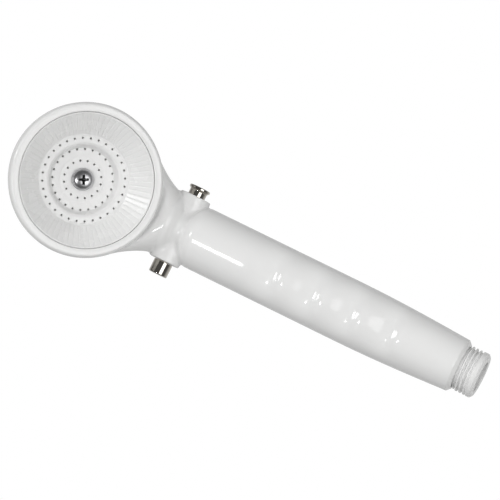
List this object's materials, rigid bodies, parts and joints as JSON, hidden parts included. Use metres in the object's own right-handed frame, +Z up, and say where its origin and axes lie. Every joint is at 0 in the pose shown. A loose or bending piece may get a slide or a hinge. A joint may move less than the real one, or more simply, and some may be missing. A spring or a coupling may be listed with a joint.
{
  "type": "handheld shower head",
  "caption": "Handheld shower head: round dished spray face on a funnel-backed head, finger-grooved handle, threaded hose end and a push-through pause valve in the neck.",
  "frame": {"origin": "on the handle's axis, at the tapered seat that a wall holder grips, 25 mm above the hose end", "axes": "+Z up the handle towards the head, -Y the way the spray face looks, +X towards the flared valve button"},
  "size_m": [0.068, 0.0553, 0.2243],
  "materials": {
    "white_shell": "glossy moulded white plastic",
    "white_grip": "glossy moulded white plastic",
    "white_nipple": "glossy moulded white plastic",
    "white_face": "satin-gloss moulded white plastic",
    "nickel_plate": "polished nickel plate on brass",
    "stainless": "bright stainless steel",
    "brass": "machined brass",
    "acetal": "natural acetal",
    "seal_rubber": "black nitrile rubber"
  },
  "bodies": {
    "handset": {"head_shell": "white_shell", "handle_grip": "white_grip", "hose_nipple": "white_nipple", "inlet_screen": "stainless", "flow_restrictor": "acetal", "restrictor_seal": "seal_rubber", "water_tube": "acetal", "tube_seal_bottom": "seal_rubber", "tube_seal_top": "seal_rubber", "spray_face": "white_face", "face_seal": "seal_rubber", "face_screw": "stainless", "screw_seal": "seal_rubber", "screw_insert": "brass", "valve_sleeve": "acetal", "sleeve_seal_left": "seal_rubber", "sleeve_seal_right": "seal_rubber", "spindle_bush": "acetal"},
    "spindle": {"valve_spindle": "nickel_plate", "plain_button": "nickel_plate", "spindle_seal_right": "seal_rubber", "spindle_seal_middle": "seal_rubber", "spindle_seal_left": "seal_rubber"}
  },
  "joints": [
    {"name": "valve_slide", "type": "slide", "parent": "handset", "child": "spindle", "axis": [-1, 0, 0], "range_m": [0, 0.0026]}
  ]
}
